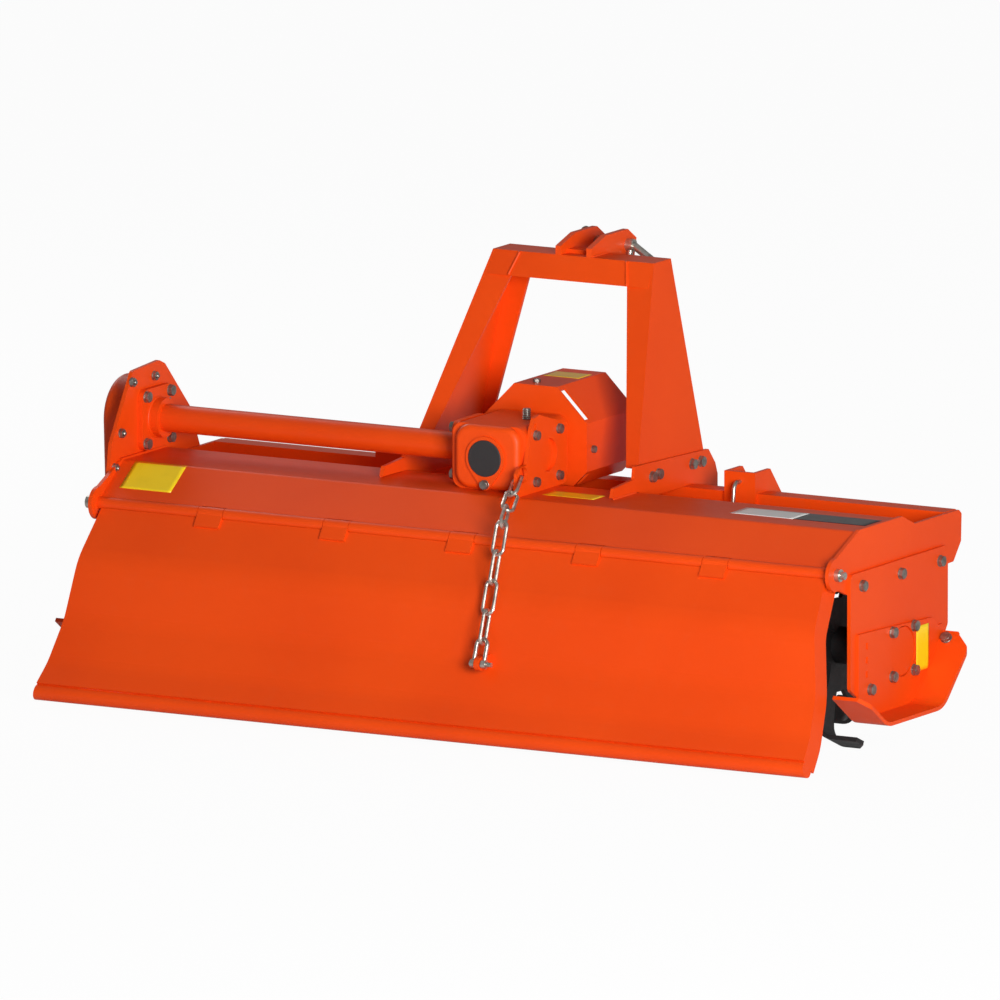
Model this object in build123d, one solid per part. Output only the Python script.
"""Tractor-mounted rotary tiller, in millimetres.

+Z is up, +Y points forward to the tractor, and X runs along the rotor, with the
gear case at -X.  The pieces are drawn about the point on the floor under the rotor's
axis and the hood's middle, and all move together to the middle of the machine's
outline at the end.
"""
import math
import os

from build123d import *

os.makedirs("parts", exist_ok=True)

# ------------------------------------------------------------ driving dimensions
TIP_R = 205.3             # radius that the blades sweep
STAND = 13.0              # angle from straight down to the lowest blades
AXIS_Z = TIP_R * math.cos(math.radians(STAND))   # the rotor stands on its blades
PLATE = 8.0               # end plates and brackets
SHEET = 5.0               # hood and flap sheet
END_X = 870.0             # outer face of the right side plate
HOOD_END = END_X - PLATE  # outer face of the end brackets
CLEAR = 0.1               # running clearance, radial
SEAT = 0.3                # gap of a seated piece

HINGE_Y = -254.0          # flap hinge
HINGE_Z = 394.0
HINGE_ROD_R = 8.0
ROLL_R = 13.0             # outside of the rolled hood edge and the knuckles
KNUCKLE_LEN = 58.0
KNUCKLE_GAP = 1.5
KNUCKLE_COUNT = 5
KNUCKLE_PITCH = 294.0
EAR_R = 34.0

DECK_BACK = (-157.0, 468.0)   # rear edge of the flat top of the hood
DECK_FRONT = (22.0, 468.0)    # front edge of the flat top
DECK_STEP = (75.0, 441.0)
BEAM_BACK = 215.0
BEAM_FRONT = 261.0
BEAM_TOP = 450.0
BEAM_BOTTOM = 380.0
BEAM_WALL = 6.0

FLAP_TOP_HALF = END_X - 28.0
FLAP_BOTTOM_HALF = END_X + 28.0
FLAP_BOTTOM_Z = 11.0
FLAP_RIB_DEPTH = 46.0
FLAP_LIP_R = 17.0

MAST_X = -25.0            # middle of the gearbox, the mast and the hitch
MAST_TOP_Z = 900.0
MAST_TOP_HALF = 188.0
MAST_FOOT_HALF = 264.0
MAST_FOOT_Z = 512.0
MAST_FRONT_Y = 314.0
MAST_TOP_BACK_Y = 243.0
MAST_FOOT_BACK_Y = 40.0
MAST_SHEET = 8.0
MAST_FLANGE_TOP = 64.0
MAST_FLANGE_FOOT = 28.0
CROSSBAR_DEPTH = 48.0

GEAR_Z = 537.0            # height of the input shaft and of the drive tube
TUBE_Y = -22.0
TUBE_R = 28.5
TUBE_WALL = 6.0
CASE_RIGHT_X = 58.0       # seat of the right-hand flange plate
CASE_LEFT_X = -112.0
COVER_Y = -125.0
GUARD_Y = 85.0
GUARD_LENGTH = 200.0
GUARD_FLATS = 240.0
GUARD_SHEET = 4.0
GUARD_BOTTOM = 456.0
GUARD_SLIT = 20.0
SHAFT_R = 17.45
SHAFT_END_Y = 205.0

LOWER_PIN_HALF = 408.0    # from the middle to each lower hitch bracket
LOWER_PIN_Y = 300.0
LOWER_PIN_Z = 412.0
LOWER_PIN_R = 11.3
LOWER_JAW = 56.0          # clear width between the two ears
TOP_PIN_Y = 393.0
TOP_PIN_Z = MAST_TOP_Z + 5.0
TOP_PIN_R = 12.7
TOP_JAW = 60.0
CLEVIS_FRONT = 432.0

ROTOR_R = 38.0
ROTOR_WALL = 8.0
FLANGE_R = 96.0
FLANGE_T = 10.0
FLANGE_COUNT = 7
FLANGE_END_X = END_X - 145.0
TINE_T = 9.0
TINE_REACH = 104.0        # how far a blade reaches sideways
TINE_BEND_R = 38.0
TINE_CHORD = 70.0         # width of the blade along its path
TINES_PER_FACE = 3

CHAIN_TOP = (60.0, -140.0, 505.0)
CHAIN_KNEE = (112.0, -296.0, 441.0)
CHAIN_FOOT = (118.0, -404.0, 170.0)
UPPER_PAST = 3.0          # how far each run reaches past the knee
LOWER_PAST = 1.0
WIRE_R = 3.5
LINK_WIDTH = 31.0
UPPER_TWISTS = (27, -32, 90)      # turn of each link about the run, in degrees
LOWER_TWISTS = (0, 90, 0, 90)
LINK_SLACK = 1.0          # gap between the wires of two links
SHACKLE_LENGTH = 46.0
SHACKLE_PIN_R = 5.0
LUG_T = 11.0
KEYHOLE_R = 16.5
CLEVIS_EAR = 12.0
BRACKET_TOP = 494.0
HOOK_R = 4.5


# ------------------------------------------------------------------ form helpers
def along_x(points, x0, x1, radius=0.0):
    """A plate with its outline in Y and Z, from x0 to x1."""
    face = Polygon(*points, align=None)
    if radius:
        face = fillet(face.vertices(), radius)
    return extrude(Plane.YZ.offset(x0) * face, amount=x1 - x0, dir=(1, 0, 0))


def along_y(points, y0, y1, radius=0.0):
    """A plate with its outline in X and Z, from y0 to y1."""
    face = Polygon(*points, align=None)
    if radius:
        face = fillet(face.vertices(), radius)
    return extrude(Plane.XZ.offset(-y0) * face, amount=y1 - y0, dir=(0, 1, 0))


def rod_x(radius, x0, x1, y, z):
    """A cylinder along X."""
    return extrude(Plane.YZ.offset(x0) * Pos(y, z) * Circle(radius), amount=x1 - x0, dir=(1, 0, 0))


def rod_y(radius, y0, y1, x, z):
    """A cylinder along Y."""
    return extrude(Plane.XZ.offset(-y0) * Pos(x, z) * Circle(radius), amount=y1 - y0, dir=(0, 1, 0))


def rod_z(radius, z0, z1, x, y):
    """A cylinder along Z."""
    return extrude(Plane.XY.offset(z0) * Pos(x, y) * Circle(radius), amount=z1 - z0)


def block(x0, x1, y0, y1, z0, z1):
    """A box between two corners."""
    return Pos(x0, y0, z0) * Box(x1 - x0, y1 - y0, z1 - z0, align=(Align.MIN,) * 3)


def bent_sheet(points, radius, thickness, x0, x1, side=Side.RIGHT):
    """A sheet bent along a Y-Z line with round bends, from x0 to x1."""
    path = FilletPolyline(*points, radius=radius)
    face = make_face(offset(path, amount=thickness, side=side, closed=True).edges())
    return extrude(Plane.YZ.offset(x0) * face, amount=x1 - x0, dir=(1, 0, 0))


# -------------------------------------------------------------------------- hood
ROLL_TOP = (HINGE_Y + 3.0, HINGE_Z + ROLL_R - SHEET / 2)
HOOD_LINE = [ROLL_TOP, DECK_BACK, DECK_FRONT, DECK_STEP, (BEAM_BACK, BEAM_BOTTOM + SHEET)]
KNUCKLES = [KNUCKLE_PITCH * (i - (KNUCKLE_COUNT - 1) / 2) for i in range(KNUCKLE_COUNT)]


def hood():
    """Bent top sheet with its rear edge rolled round the flap's hinge rod."""
    half = HOOD_END - PLATE
    sheet = bent_sheet(HOOD_LINE, 14.0, SHEET, -half, half)
    roll = rod_x(ROLL_R, -half, half, HINGE_Y, HINGE_Z)
    shape = sheet + roll - rod_x(HINGE_ROD_R + CLEAR, -half, half, HINGE_Y, HINGE_Z)
    room = ROLL_R + KNUCKLE_GAP
    for x in KNUCKLES:
        gap = KNUCKLE_LEN / 2 + KNUCKLE_GAP
        shape -= rod_x(room, x - gap, x + gap, HINGE_Y, HINGE_Z)
    return shape


def end_bracket(side):
    """Hood end with the hinge ear at its rear and a stepped top edge."""
    outline = [(HINGE_Y + 10, HINGE_Z - EAR_R), (-205, 345), (203, 345), (238, 346), (270, 384),
               (272, 440), (261, 449), (DECK_STEP[0], 449), (DECK_FRONT[0], DECK_FRONT[1] + 4),
               (DECK_BACK[0], DECK_BACK[1] + 4), (HINGE_Y - 8, HINGE_Z + EAR_R - 4)]
    x0 = min(side * HOOD_END, side * (HOOD_END - PLATE))
    shape = along_x(outline, x0, x0 + PLATE, 5.0)
    shape += rod_x(EAR_R, x0, x0 + PLATE, HINGE_Y, HINGE_Z)
    return shape - rod_x(HINGE_ROD_R + CLEAR, x0, x0 + PLATE, HINGE_Y, HINGE_Z)


def front_beam():
    """Channel that closes the hood's front and carries the hitch."""
    half = HOOD_END - PLATE
    outer = block(-half, half, BEAM_BACK, BEAM_FRONT, BEAM_BOTTOM, BEAM_TOP)
    inner = block(-half, half, BEAM_BACK + BEAM_WALL, BEAM_FRONT - BEAM_WALL,
                  BEAM_BOTTOM, BEAM_TOP - BEAM_WALL)
    return outer - inner


# ------------------------------------------------------------ side plates, skids
SIDE_PLATE = [(-209, 387), (200, 387), (200, 225), (150, 160), (70, 96), (-120, 96), (-209, 150)]
SKID_LINE = [(-281, 152), (-188, 88), (42, 88), (172, 216)]
SKID_BEND = 60.0
SKID_WIDTH = 76.0
SKID_TAB = 40.0           # width of the runner's bolted front end
SKID_ROOM = 5.0           # between the left runner and the end plate
SKID_T = 8.0
WEB_T = 6.0
HUB_BOLT = 91.0           # side of the square of bearing bolts
HUB_R = 62.0
BEARING_R = 30.0


def side_plate_right():
    """Right end plate with the round hole that the bearing hub closes."""
    plate = along_x(SIDE_PLATE, END_X - PLATE, END_X, 12.0)
    return plate - rod_x(HUB_R - 12, END_X - PLATE, END_X, 0, AXIS_Z)


def side_plate_left():
    """Left end plate, carried up as a tower to the drive tube's flange."""
    outline = [(-209, 387), (-191, 504), (-104, 643), (4, 650), (28, 640), (129, 537), (200, 387),
               (200, 225), (150, 160), (70, 96), (-120, 96), (-209, 150)]
    plate = along_x(outline, -END_X, -END_X + PLATE, 10.0)
    plate -= rod_x(HUB_R - 12, -END_X, -END_X + PLATE, 0, AXIS_Z)
    return plate - rod_x(TUBE_R - TUBE_WALL, -END_X, -END_X + PLATE, TUBE_Y, GEAR_Z)


def bearing_hub_right():
    """Square bearing housing behind the right plate, with its closed cap."""
    h = HUB_BOLT / 2 + 16
    flange = Plane.YZ.offset(END_X - PLATE - 12) * Pos(0, AXIS_Z) * RectangleRounded(2 * h, 2 * h, 16)
    shape = extrude(flange, amount=12, dir=(1, 0, 0))
    shape += rod_x(HUB_R - 13, END_X - PLATE, END_X + 4, 0, AXIS_Z)
    shape += rod_x(HUB_R - 6, END_X - PLATE - 34, END_X - PLATE - 12, 0, AXIS_Z)
    return shape - rod_x(BEARING_R + CLEAR, END_X - PLATE - 34, END_X - PLATE - 2, 0, AXIS_Z)


def skid(side):
    """Curved runner with an upright web, bolted on outside the end plate or the gear case."""
    width = SKID_WIDTH if side > 0 else GEAR_CASE_OUT + WEB_T - END_X - SKID_ROOM
    sole = bent_sheet(SKID_LINE, SKID_BEND, SKID_T, 0, width)
    back, front = SKID_LINE[0][0] - SKID_T, SKID_LINE[-1][0] + SKID_T
    plan = Polygon((0, back), (width - 22, back), (width, back + 30), (width, front - 34),
                   (SKID_TAB, front - 10), (SKID_TAB, front), (0, front), align=None)
    plan = fillet(plan.vertices().sort_by(Axis.X)[-2:], 14)
    sole &= extrude(plan, amount=SKID_LINE[-1][1] + SKID_T)
    web_line = [(-186, 262), (-60, 258), (124, 250), (150, 230), (168, 230), (178, 220), (42, 86),
                (-186, 86)]
    web = along_x(web_line, 0, WEB_T, 4.0)
    web -= rod_x(HUB_R - 10, 0, WEB_T, 0, AXIS_Z)
    for step in (-1, 0, 1):
        web -= block(0, WEB_T, -156, -148, AXIS_Z + 5 + step * 29 - 7, AXIS_Z + 5 + step * 29 + 7)
    return Pos(END_X if side > 0 else -GEAR_CASE_OUT - WEB_T, 0, 0) * (sole + web)


# --------------------------------------------------------------------- gear case
GEAR_CASE_IN = END_X
GEAR_CASE_OUT = END_X + 66.0
GEAR_TOP_R = 94.0
GEAR_FOOT_R = 102.0


def capsule(r_top, r_foot):
    """Flat outline round the drive tube's axis and the rotor's axis."""
    top = Pos(TUBE_Y, GEAR_Z) * Circle(r_top)
    foot = Pos(0, AXIS_Z) * Circle(r_foot)
    return make_hull(top.edges() + foot.edges())


def gear_case():
    """Closed side transmission with a flanged rim and a shallow cover."""
    rim = extrude(Plane.YZ.offset(-GEAR_CASE_IN - 10) * capsule(GEAR_TOP_R, GEAR_FOOT_R), amount=10,
                  dir=(1, 0, 0))
    body = extrude(Plane.YZ.offset(-GEAR_CASE_OUT) * capsule(GEAR_TOP_R - 10, GEAR_FOOT_R - 10),
                   amount=GEAR_CASE_OUT - GEAR_CASE_IN, dir=(1, 0, 0))
    body = fillet(body.faces().sort_by(Axis.X)[0].edges(), 14)
    hub = rod_x(HUB_R - 13, -GEAR_CASE_IN, -END_X + PLATE + 26, 0, AXIS_Z)
    hub -= rod_x(BEARING_R + CLEAR, -END_X, -END_X + PLATE + 26, 0, AXIS_Z)
    return rim + body + hub


# ------------------------------------------------------------------------- drive
FLANGE_BOLT = 97.0        # side of the square of flange bolts
CAP_R = 37.5
BOSS = 5.0                # how far the cap's boss stands proud
LUG_DROP = 54.0


def drive_tube():
    """Tube over the cross shaft, from the gearbox to the gear case."""
    x0 = -END_X + PLATE + 12
    tube = rod_x(TUBE_R, x0, CASE_LEFT_X - 12, TUBE_Y, GEAR_Z)
    collar = rod_x(TUBE_R + 12, x0, x0 + 20, TUBE_Y, GEAR_Z)
    return tube + collar - rod_x(TUBE_R - TUBE_WALL, x0, CASE_LEFT_X - 12, TUBE_Y, GEAR_Z)


def square_flange(x0, bore):
    """Four-bolt flange round the drive tube's axis, 12 mm thick."""
    side = FLANGE_BOLT + 29
    face = Plane.YZ.offset(x0) * Pos(TUBE_Y, GEAR_Z) * RectangleRounded(side, side, 20)
    return extrude(face, amount=12, dir=(1, 0, 0)) - rod_x(bore, x0, x0 + 12, TUBE_Y, GEAR_Z)


def gearbox_housing():
    """Cast bevel-gear case, with round shoulders and a foot on the hood."""
    body = block(CASE_LEFT_X, CASE_RIGHT_X, COVER_Y + 22, GUARD_Y - 14, DECK_FRONT[1], GEAR_Z + 66)
    body = fillet(body.edges().filter_by(Axis.Y), 22)
    neck = rod_y(52, GUARD_Y - 14, GUARD_Y, MAST_X, GEAR_Z)
    return body + neck


def gearbox_cover():
    """Rounded rear end of the case, with a boss round its cap and a lug below."""
    face = Plane.XZ.offset(-COVER_Y - BOSS) * Pos(MAST_X, GEAR_Z) * RectangleRounded(150, 132, 34)
    cover = extrude(face, amount=22 - BOSS, dir=(0, 1, 0))
    cover = fillet(cover.faces().sort_by(Axis.Y)[0].edges(), 12)
    ring = Pos(MAST_X, GEAR_Z) * Circle(CAP_R + 7)
    lug = Pos(MAST_X, GEAR_Z - LUG_DROP) * Circle(12)
    boss = make_hull(ring.edges() + lug.edges())
    return cover + extrude(Plane.XZ.offset(-COVER_Y) * boss, amount=BOSS + 1, dir=(0, 1, 0))


def gearbox_cap():
    """Round closing cap in the rear cover."""
    cap = rod_y(CAP_R, COVER_Y - 3, COVER_Y, MAST_X, GEAR_Z)
    return chamfer(cap.faces().sort_by(Axis.Y)[0].edges(), 1.0)


def gearbox_side_plate():
    """Right-hand flange plate, running down to the hood as the chain's arm."""
    x0 = CASE_RIGHT_X
    y, z = TUBE_Y, GEAR_Z
    outline = [(y - 72, z + 62), (y - 58, z + 84), (y - 38, z + 88), (y + 50, z + 62), (y + 72, z + 20),
               (y + 72, z - 66), (y + 60, DECK_FRONT[1]), (DECK_BACK[0], DECK_BACK[1]), (-190, 446),
               (-186, 464), (-154, 484), (-152, 516), (-140, 526), (-112, 530)]
    plate = along_x(outline, x0, x0 + PLATE, 5.0)
    plate -= rod_x(34, x0, x0 + PLATE, y, z)
    slot = Plane.YZ.offset(x0) * Pos(y - 56, z + 62) * Rot(0, 0, 90) * SlotOverall(22, 8)
    plate -= extrude(slot, amount=PLATE, dir=(1, 0, 0))
    way, _ = towards(CHAIN_TOP, CHAIN_KNEE)
    back = KEYHOLE_R - LINK_SLACK
    hole = (CHAIN_TOP[1] - way.Y * back, CHAIN_TOP[2] - way.Z * back)
    return plate - rod_x(KEYHOLE_R, x0, x0 + PLATE, *hole)


def input_shaft():
    """Splined shaft end, plain here at its outer diameter."""
    return rod_y(SHAFT_R, GUARD_Y, SHAFT_END_Y, MAST_X, GEAR_Z)


def octagon(flats):
    """Regular eight-sided face round the input shaft's axis."""
    corner_r = flats / 2 / math.cos(math.pi / 8)
    return Plane.XZ * Pos(MAST_X, GEAR_Z) * Rot(0, 0, 22.5) * RegularPolygon(corner_r, 8)


def below_guard():
    """What the guard leaves out, so that it stays clear of the hood and the beam."""
    return block(MAST_X - 200, MAST_X + 200, GUARD_Y - 50, GUARD_Y + 400, 300, GUARD_BOTTOM)


def guard_back_plate():
    """Eight-sided plate between the gearbox neck and the guard."""
    plate = extrude(Pos(0, GUARD_Y, 0) * octagon(GUARD_FLATS), amount=GUARD_SHEET, dir=(0, 1, 0))
    plate -= rod_y(SHAFT_R + 6, GUARD_Y, GUARD_Y + GUARD_SHEET, MAST_X, GEAR_Z)
    return plate - below_guard()


def guard_shell():
    """Eight-sided cover round the drive-shaft joint, open to the tractor and below."""
    y = GUARD_Y + GUARD_SHEET
    tube = extrude(Pos(0, y, 0) * octagon(GUARD_FLATS), amount=GUARD_LENGTH, dir=(0, 1, 0))
    core = octagon(GUARD_FLATS - 2 * GUARD_SHEET)
    shape = tube - extrude(Pos(0, y, 0) * core, amount=GUARD_LENGTH, dir=(0, 1, 0))
    half = GUARD_FLATS * (math.sqrt(2) - 1) / 2 + 6
    for slant in (45, 135, 225, 315):
        slit = Pos(MAST_X, 0, GEAR_Z) * Rot(0, slant, 0) * block(
            -half + 16, half - 16, y, y + GUARD_SLIT, GUARD_FLATS / 2 - 20, GUARD_FLATS / 2 + 20)
        shape -= slit
    return shape - below_guard()


# -------------------------------------------------------------------------- mast
def mast_leg(side):
    """Tapered channel that leans outwards, open towards the middle."""
    lean = math.atan2(MAST_FOOT_HALF - MAST_TOP_HALF, MAST_TOP_Z - MAST_FOOT_Z)
    length = (MAST_TOP_Z - MAST_FOOT_Z) / math.cos(lean)
    drop = [(MAST_TOP_BACK_Y, 0), (MAST_FRONT_Y, 0), (MAST_FRONT_Y, -length), (MAST_FOOT_BACK_Y, -length)]
    web = along_x(drop, -MAST_SHEET, 0)
    outer = Polygon((0, 0), (-MAST_FLANGE_TOP, 0), (-MAST_FLANGE_FOOT, -length), (0, -length), align=None)
    band = extrude(Plane.XZ.offset(-MAST_FOOT_BACK_Y + 60) * outer, amount=-400)
    core = [(MAST_TOP_BACK_Y + MAST_SHEET, 0), (MAST_FRONT_Y - MAST_SHEET, 0),
            (MAST_FRONT_Y - MAST_SHEET, -length), (MAST_FOOT_BACK_Y + MAST_SHEET, -length)]
    channel = along_x(drop, -90, 0) - along_x(core, -90, 0)
    leg = web + (channel & band)
    leg = Pos(MAST_TOP_HALF, 0, MAST_TOP_Z) * Rot(0, -math.degrees(lean), 0) * leg
    leg &= block(0, 400, -100, 500, MAST_FOOT_Z, MAST_TOP_Z)
    if side < 0:
        leg = mirror(leg, about=Plane.YZ)
    return Pos(MAST_X, 0, 0) * leg


def mast_crossbar():
    """Box section between the legs, its back in the plane of their rear flanges."""
    slope = (MAST_TOP_BACK_Y - MAST_FOOT_BACK_Y) / (MAST_TOP_Z - MAST_FOOT_Z)
    z0 = MAST_TOP_Z - CROSSBAR_DEPTH
    back = MAST_TOP_BACK_Y - slope * CROSSBAR_DEPTH
    outline = [(MAST_TOP_BACK_Y, MAST_TOP_Z), (MAST_FRONT_Y, MAST_TOP_Z), (MAST_FRONT_Y, z0), (back, z0)]
    bar = along_x(outline, -MAST_TOP_HALF, MAST_TOP_HALF)
    bar -= Pos(-MAST_X, 0, 0) * mast_leg(1)
    bar -= Pos(-MAST_X, 0, 0) * mast_leg(-1)
    return Pos(MAST_X, 0, 0) * bar.solids().sort_by(SortBy.VOLUME)[-1]


def top_clevis():
    """Two ears on the crossbar for the tractor's top link."""
    z = MAST_TOP_Z
    outline = [(MAST_TOP_BACK_Y, z), (MAST_TOP_BACK_Y, z + 18), (306, z + 37), (396, z + 37),
               (CLEVIS_FRONT, z + 14),
               (422, z - 28), (MAST_FRONT_Y + SEAT, z - 44), (MAST_FRONT_Y + SEAT, z)]
    shape = None
    for side in (-1, 1):
        x0 = MAST_X + side * (TOP_JAW + CLEVIS_EAR) / 2 - CLEVIS_EAR / 2
        ear = along_x(outline, x0, x0 + CLEVIS_EAR)
        ear -= rod_x(TOP_PIN_R + CLEAR, x0, x0 + CLEVIS_EAR, TOP_PIN_Y, TOP_PIN_Z)
        shape = ear if shape is None else shape + ear
    web = block(MAST_X - TOP_JAW / 2, MAST_X + TOP_JAW / 2, MAST_TOP_BACK_Y + 30, MAST_TOP_BACK_Y + 60, z, z + 8)
    return shape + web


def top_link_pin():
    """Top-link pin with a bent handle and a hole for its linch pin."""
    x0 = MAST_X - TOP_JAW / 2 - CLEVIS_EAR - 22
    x1 = MAST_X + TOP_JAW / 2 + CLEVIS_EAR + 16
    pin = rod_x(TOP_PIN_R, x0, x1, TOP_PIN_Y, TOP_PIN_Z)
    pin -= rod_z(4, TOP_PIN_Z - 20, TOP_PIN_Z + 20, x0 + 10, TOP_PIN_Y)
    handle = Polyline((x1 - 7, TOP_PIN_Y, TOP_PIN_Z), (x1 - 7, TOP_PIN_Y - 6, TOP_PIN_Z - 20),
                      (x1 + 34, TOP_PIN_Y - 10, TOP_PIN_Z - 56))
    rod = sweep(Plane(origin=handle @ 0, z_dir=handle % 0) * Circle(6), path=handle, transition=Transition.ROUND)
    return pin + rod


def mast_foot(side):
    """Foot plate outside each leg, bolted to the leg and welded to the hood."""
    outline = [(-80, DECK_BACK[1] + 3), (-72, 490), (12, 496), (16, 522), (322, 512), (350, 480), (360, 456),
               (360, 424), (BEAM_FRONT + SEAT, 424), (BEAM_FRONT + SEAT, BEAM_TOP + SEAT), (70, BEAM_TOP + SEAT),
               (DECK_FRONT[0] + 4, DECK_FRONT[1] + SEAT), (-80, DECK_BACK[1] + 3)]
    x0 = MAST_FOOT_HALF if side > 0 else -MAST_FOOT_HALF - PLATE
    return Pos(MAST_X, 0, 0) * along_x(outline[:-1], x0, x0 + PLATE)


def hitch_bracket(side):
    """U-shaped clevis on the beam for the tractor's lower link."""
    w = LOWER_JAW / 2 + PLATE
    back = BEAM_BACK - PLATE
    foot = BEAM_BOTTOM + 20
    x = MAST_X + side * LOWER_PIN_HALF
    outline = [(back, foot), (back, BRACKET_TOP), (back + 64, BRACKET_TOP), (LOWER_PIN_Y + 27, LOWER_PIN_Z + 16),
               (LOWER_PIN_Y + 24, LOWER_PIN_Z - 22), (LOWER_PIN_Y - 10, LOWER_PIN_Z - 30), (BEAM_FRONT, foot - 14)]
    shape = block(x - w, x + w, back, BEAM_BACK, foot, BRACKET_TOP)
    shape -= rod_y(HOOK_R + CLEAR, back, BEAM_BACK, x, BRACKET_TOP - 20)
    for way in (-1, 1):
        x0 = x + way * (w - PLATE / 2) - PLATE / 2
        ear = along_x(outline, x0, x0 + PLATE)
        shape += ear - rod_x(LOWER_PIN_R, x0, x0 + PLATE, LOWER_PIN_Y, LOWER_PIN_Z)
    return shape - block(x - w, x + w, BEAM_BACK, BEAM_FRONT, foot - 20, BEAM_TOP)


# -------------------------------------------------------------------------- flap
FLAP_LINE = [(-264, 389), (-338, 291), (-364, 168), (-410, 86), (-446, 48)]
FLAP_BEND = 110.0         # radius of the flap's soft bends
LIP_Y = FLAP_LINE[-1][0] + 8


def flap_trapezoid(inset):
    """Outline of the flap seen from behind, drawn in by the inset at its ends."""
    grow = (FLAP_BOTTOM_HALF - FLAP_TOP_HALF) / (HINGE_Z - FLAP_BOTTOM_Z)
    z0, z1 = FLAP_BOTTOM_Z - 40, HINGE_Z + 40
    top = FLAP_TOP_HALF - grow * 40 - inset
    foot = FLAP_BOTTOM_HALF + grow * 40 - inset
    return along_y([(-foot, z0), (foot, z0), (top, z1), (-top, z1)], -600, -100)


def flap():
    """Curved rear flap with a rolled lip, end ribs and hinge knuckles."""
    wide = FLAP_BOTTOM_HALF + 20
    sheet = bent_sheet(FLAP_LINE, FLAP_BEND, SHEET, -wide, wide, Side.LEFT)
    lip_y, lip_z = LIP_Y, FLAP_BOTTOM_Z + FLAP_LIP_R
    lip = rod_x(FLAP_LIP_R, -wide, wide, lip_y, lip_z)
    lip -= rod_x(FLAP_LIP_R - SHEET, -wide, wide, lip_y, lip_z)
    lip -= block(-wide, wide, lip_y, lip_y + 40, lip_z, lip_z + 40)
    rib = bent_sheet(FLAP_LINE, FLAP_BEND, FLAP_RIB_DEPTH, -wide, wide, Side.LEFT)
    rib += rod_x(FLAP_LIP_R, -wide, wide, lip_y, lip_z)
    ends = flap_trapezoid(0) - flap_trapezoid(SHEET)
    shape = ((sheet + lip) & flap_trapezoid(0)) + (rib & ends)
    room = rod_x(ROLL_R + KNUCKLE_GAP, -wide, wide, HINGE_Y, HINGE_Z)
    shape -= room
    for x in KNUCKLES:
        x0, x1 = x - KNUCKLE_LEN / 2, x + KNUCKLE_LEN / 2
        tab = along_x([(HINGE_Y - ROLL_R, HINGE_Z), (-283, 371), (-277, 367), (HINGE_Y - 6, HINGE_Z - 9)], x0, x1)
        shape += tab + rod_x(ROLL_R, x0, x1, HINGE_Y, HINGE_Z)
    return shape - rod_x(HINGE_ROD_R + CLEAR, -wide, wide, HINGE_Y, HINGE_Z)


def flap_lug():
    """Lug on the flap's back for the chain's shackle."""
    x, y, z = CHAIN_FOOT
    x0, x1 = x - LUG_T / 2, x + LUG_T / 2
    arm = along_x([(y + 2, z - 14), (y + 2, z + 14), (y + 80, z + 14), (y + 80, z - 14)], x0, x1)
    lug = arm + rod_x(14, x0, x1, y + 2, z)
    wide = FLAP_BOTTOM_HALF
    lug -= bent_sheet(FLAP_LINE, FLAP_BEND, 100, -wide, wide, Side.LEFT)
    return lug - rod_x(SHACKLE_PIN_R + CLEAR, x0, x1, y, z)


def hinge_rod():
    """Long rod through the ears, the rolled edge and the knuckles."""
    reach = END_X + 12
    rod = rod_x(HINGE_ROD_R, -reach, reach, HINGE_Y, HINGE_Z)
    for x0, x1 in ((-reach, -reach + 8), (HOOD_END + SEAT, HOOD_END + 10)):
        rod += rod_x(HINGE_ROD_R + 5, x0, x1, HINGE_Y, HINGE_Z)
    return rod


# ------------------------------------------------------------------------- rotor
ROTOR_HALF = END_X - PLATE - 40
BLADE_DROP = math.sqrt(TIP_R ** 2 - (TINE_CHORD / 2) ** 2)
EDGE_ANGLE = math.degrees(math.asin(TINE_CHORD / 2 / TIP_R))


def rotor_tube():
    """Rotor tube, closed by the two stub axles that run in the bearings."""
    y, z = 0, AXIS_Z
    tube = rod_x(ROTOR_R, -ROTOR_HALF, ROTOR_HALF, y, z)
    tube -= rod_x(ROTOR_R - ROTOR_WALL, -ROTOR_HALF + 20, ROTOR_HALF - 20, y, z)
    return tube + rod_x(BEARING_R, -ROTOR_HALF - 34, ROTOR_HALF + 34, y, z) - rod_x(
        ROTOR_R - ROTOR_WALL, -ROTOR_HALF + 20, ROTOR_HALF - 20, y, z)


def tine():
    """One L-shaped blade at the bottom of its turn, bent towards +X."""
    x0 = FLANGE_T / 2
    chord = TINE_CHORD / 2
    line = FilletPolyline((x0, -46), (x0, -BLADE_DROP), (TINE_REACH, -BLADE_DROP), radius=TINE_BEND_R)
    face = make_face(offset(line, amount=TINE_T, side=Side.LEFT, closed=True).edges())
    bar = extrude(Plane.XZ.offset(-chord) * face, amount=TINE_CHORD, dir=(0, -1, 0))
    outline = [(-34, -46), (10, -46), (10, -104), (20, -150), (chord, -182), (chord, -230),
               (-chord, -230), (-chord, -188), (-30, -130)]
    blade = bar & along_x(outline, 0, TINE_REACH + 1)
    tip = Plane.XY.offset(-260) * Polygon((TINE_REACH + 1, chord), (TINE_REACH - 26, chord),
                                          (TINE_REACH + 1, -4), align=None)
    return blade - extrude(tip, amount=160, dir=(0, 0, 1))


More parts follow.
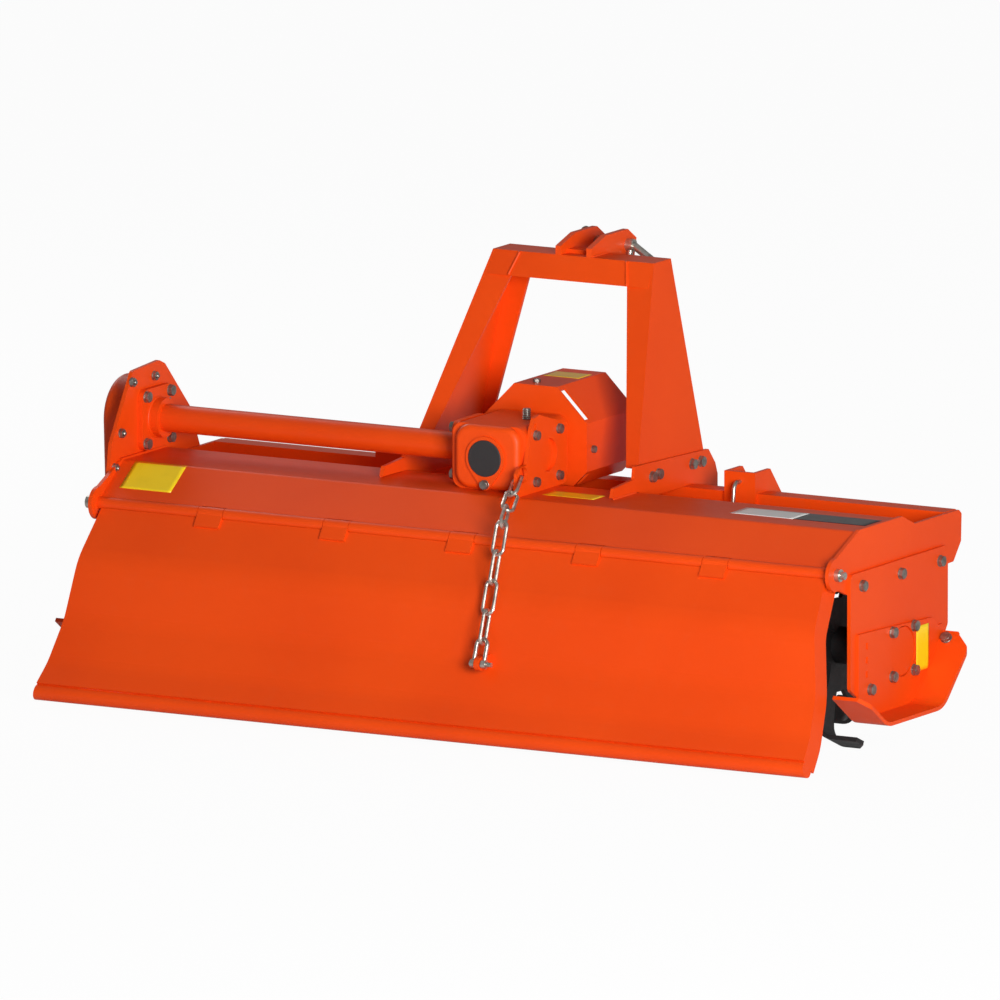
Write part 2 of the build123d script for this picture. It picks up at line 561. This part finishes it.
def rotor_flange(index):
    """Flange with three blades bent to each side, one every sixth of a turn."""
    x = -FLANGE_END_X + 2 * FLANGE_END_X * index / (FLANGE_COUNT - 1)
    lean = -STAND - EDGE_ANGLE if index % 2 == 0 else STAND + EDGE_ANGLE
    disc = rod_x(FLANGE_R, -FLANGE_T / 2, FLANGE_T / 2, 0, 0)
    shape = disc - rod_x(ROTOR_R, -FLANGE_T / 2, FLANGE_T / 2, 0, 0)
    right = tine()
    left = mirror(right, about=Plane.YZ)
    for i in range(TINES_PER_FACE):
        turn = lean + i * 360 / TINES_PER_FACE
        shape += Rot(turn, 0, 0) * right
        shape += Rot(turn + 180 / TINES_PER_FACE, 0, 0) * left
    return Pos(x, 0, AXIS_Z) * shape


# ------------------------------------------------------------------------- chain
def towards(start, end):
    """Unit vector and length from one point to another."""
    step = Vector(*end) - Vector(*start)
    return step.normalized(), step.length


def link(centre, way, inner, twist):
    """Oval link along the given way, turned about it by the twist in degrees."""
    across = LINK_WIDTH / 2 - WIRE_R
    reach = inner / 2 + WIRE_R - across
    wire = Rot(0, 0, 22.5) * RegularPolygon(WIRE_R / math.cos(math.pi / 8), 8)
    shape = None
    for end in (-1, 1):
        side = extrude(Plane.YZ.offset(-reach) * Pos(end * across, 0) * wire, amount=2 * reach, dir=(1, 0, 0))
        bend = revolve(Plane.YZ * Pos(across, 0) * wire, axis=Axis.Z, revolution_arc=180)
        bend = Pos(end * reach, 0, 0) * Rot(0, 0, 0 if end < 0 else 180) * bend
        shape = side + bend if shape is None else shape + side + bend
    plane = Plane(origin=centre, x_dir=way, z_dir=way.cross(Vector(1, 0, 0)))
    return plane.location * Rot(twist, 0, 0) * shape


def links(start, end, twists):
    """A run of links from one pivot to the next, one for each twist."""
    way, length = towards(start, end)
    pitch = length / len(twists)
    shape = None
    for i, twist in enumerate(twists):
        piece = link(Vector(*start) + way * pitch * (i + 0.5), way, pitch + LINK_SLACK, twist)
        shape = piece if shape is None else shape + piece
    return shape


def past(start, end, extra):
    """The point that lies beyond the end by the extra length."""
    way, _ = towards(start, end)
    point = Vector(*end) + way * extra
    return point.X, point.Y, point.Z


def chain_upper():
    """Three links hanging from the keyhole, the first one askew in it."""
    return links(CHAIN_TOP, past(CHAIN_TOP, CHAIN_KNEE, UPPER_PAST), UPPER_TWISTS)


def chain_lower():
    """Four links down to the bow of the shackle."""
    bow = past(CHAIN_KNEE, CHAIN_FOOT, -SHACKLE_LENGTH)
    return links(past(CHAIN_FOOT, CHAIN_KNEE, LOWER_PAST), bow, LOWER_TWISTS)


def shackle():
    """U-shaped shackle astride the lug, closed by its screw pin."""
    way, _ = towards(CHAIN_FOOT, CHAIN_KNEE)
    plane = Plane(origin=CHAIN_FOOT, x_dir=(1, 0, 0), z_dir=Vector(1, 0, 0).cross(way))
    half = LUG_T / 2 + 2 + WIRE_R + 1
    arc_z = SHACKLE_LENGTH + LINK_SLACK + WIRE_R + 1 - half
    bow = Polyline((-half, 0), (-half, arc_z)) + CenterArc((0, arc_z), half, 0, 180) + Polyline(
        (half, arc_z), (half, 0))
    path = (plane * bow).wire()
    body = sweep(Plane(origin=path @ 0, z_dir=path % 0) * Circle(WIRE_R + 1), path=path)
    x, y, z = CHAIN_FOOT
    pin = rod_x(SHACKLE_PIN_R, x - half - 8, x + half + 18, y, z)
    eyes = rod_x(9, x - half - 5, x - half + 4, y, z) + rod_x(9, x + half - 4, x + half + 6, y, z)
    return body + eyes + pin


# --------------------------------------------------------------------- hand pins
def hitch_hook():
    """Bent rod in the right bracket's back, which holds up the drive shaft."""
    x, y, z = MAST_X + LOWER_PIN_HALF, BEAM_BACK, BRACKET_TOP - 20
    route = FilletPolyline((x, y + 14, z), (x, y - 30, z), (x, y - 36, z - 44), radius=14)
    return sweep(Plane(origin=route @ 0, z_dir=route % 0) * Circle(HOOK_R), path=route)


PIECES = {
    "hood": hood,
    "end_bracket_left": lambda: end_bracket(-1),
    "end_bracket_right": lambda: end_bracket(1),
    "front_beam": front_beam,
    "side_plate_left": side_plate_left,
    "side_plate_right": side_plate_right,
    "bearing_hub_right": bearing_hub_right,
    "skid_left": lambda: skid(-1),
    "skid_right": lambda: skid(1),
    "gear_case": gear_case,
    "drive_tube": drive_tube,
    "tube_flange_left": lambda: square_flange(-END_X + PLATE, TUBE_R - TUBE_WALL),
    "tube_flange_right": lambda: square_flange(CASE_LEFT_X - 12, TUBE_R - TUBE_WALL),
    "gearbox_housing": gearbox_housing,
    "gearbox_cover": gearbox_cover,
    "gearbox_cap": gearbox_cap,
    "gearbox_side_plate": gearbox_side_plate,
    "input_shaft": input_shaft,
    "guard_back_plate": guard_back_plate,
    "guard_shell": guard_shell,
    "mast_leg_left": lambda: mast_leg(-1),
    "mast_leg_right": lambda: mast_leg(1),
    "mast_crossbar": mast_crossbar,
    "top_clevis": top_clevis,
    "top_link_pin": top_link_pin,
    "mast_foot_left": lambda: mast_foot(-1),
    "mast_foot_right": lambda: mast_foot(1),
    "hitch_bracket_left": lambda: hitch_bracket(-1),
    "hitch_bracket_right": lambda: hitch_bracket(1),
    "hitch_hook": hitch_hook,
    "hinge_rod": hinge_rod,
    "flap": flap,
    "flap_lug": flap_lug,
    "shackle": shackle,
    "chain_upper": chain_upper,
    "chain_lower": chain_lower,
    "rotor_tube": rotor_tube,
}
MIDDLE_X = (END_X + SKID_WIDTH - GEAR_CASE_OUT - WEB_T) / 2
MIDDLE_Y = (CLEVIS_FRONT + LIP_Y - FLAP_LIP_R) / 2
CENTRED = Pos(-MIDDLE_X, -MIDDLE_Y, 0)
for name, build in PIECES.items():
    export_step(CENTRED * build(), f"parts/{name}.step")
for index in range(FLANGE_COUNT):
    export_step(CENTRED * rotor_flange(index), f"parts/rotor_flange_{index + 1}.step")
